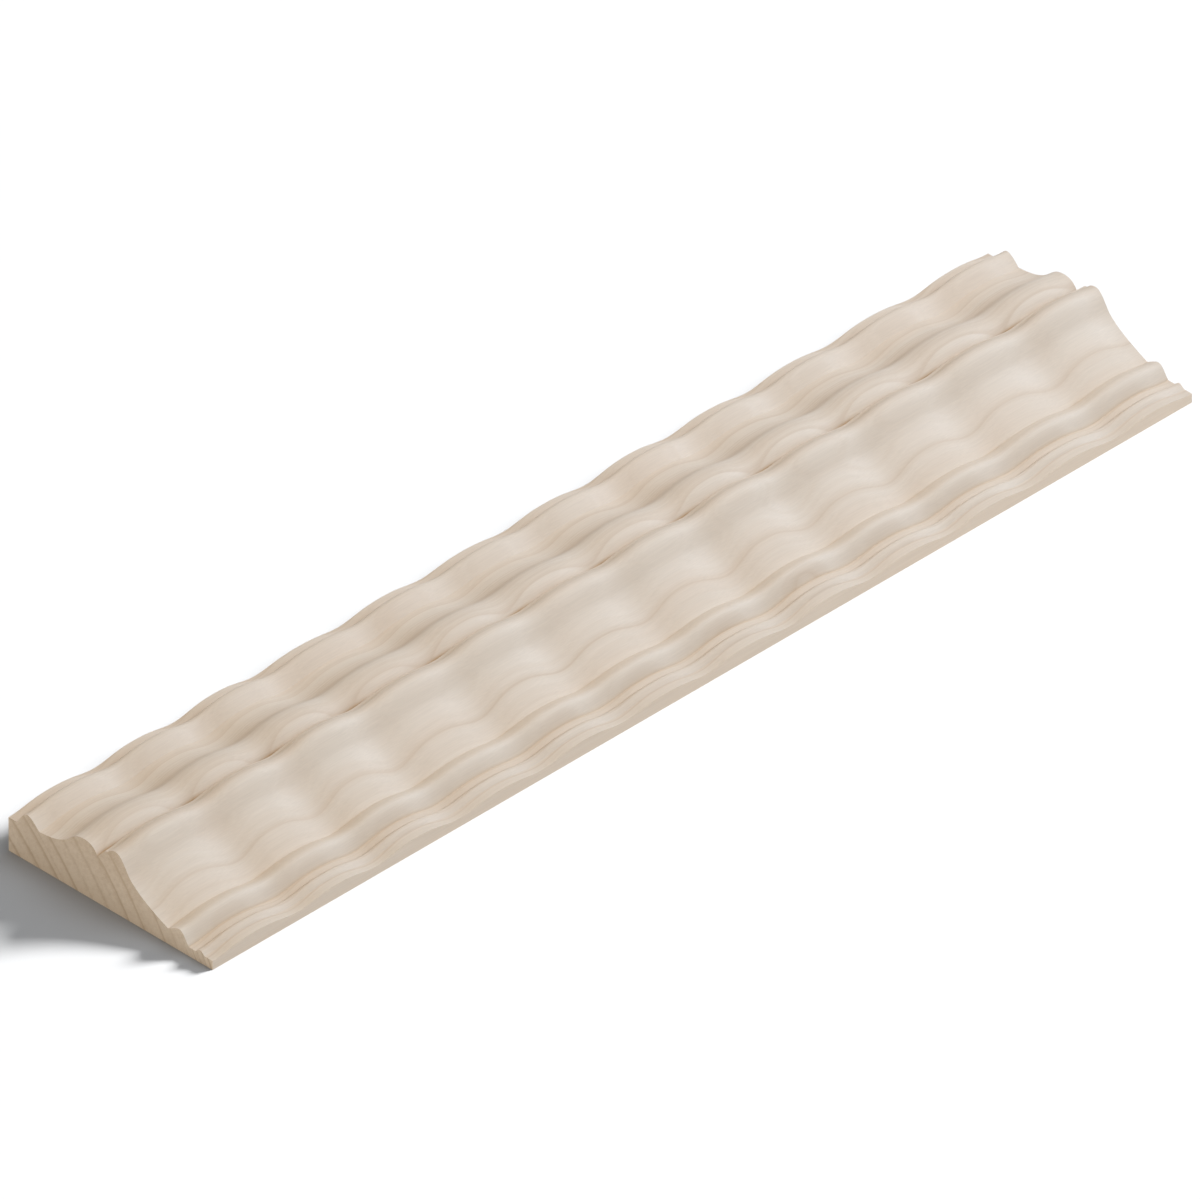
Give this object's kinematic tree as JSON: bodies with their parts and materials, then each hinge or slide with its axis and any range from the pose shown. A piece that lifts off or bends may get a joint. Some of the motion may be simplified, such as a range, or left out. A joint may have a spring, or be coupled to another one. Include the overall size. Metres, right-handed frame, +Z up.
{
  "type": "ripple moulding",
  "caption": "Straight stick of unfinished wood moulding whose ogee, cove and bead face ripples up and down along its length, with a flat back, square edges and square-cut ends.",
  "frame": {"origin": "centre of the flat back, on the surface that the stick lies on", "axes": "+X along the stick, +Y towards the thick edge, +Z up out of the rippled face"},
  "size_m": [0.4572, 0.0952, 0.0271],
  "materials": {
    "unfinished_wood": "bare, finely cut, matt"
  },
  "bodies": {
    "root": {"ripple_moulding": "unfinished_wood"}
  },
  "joints": []
}
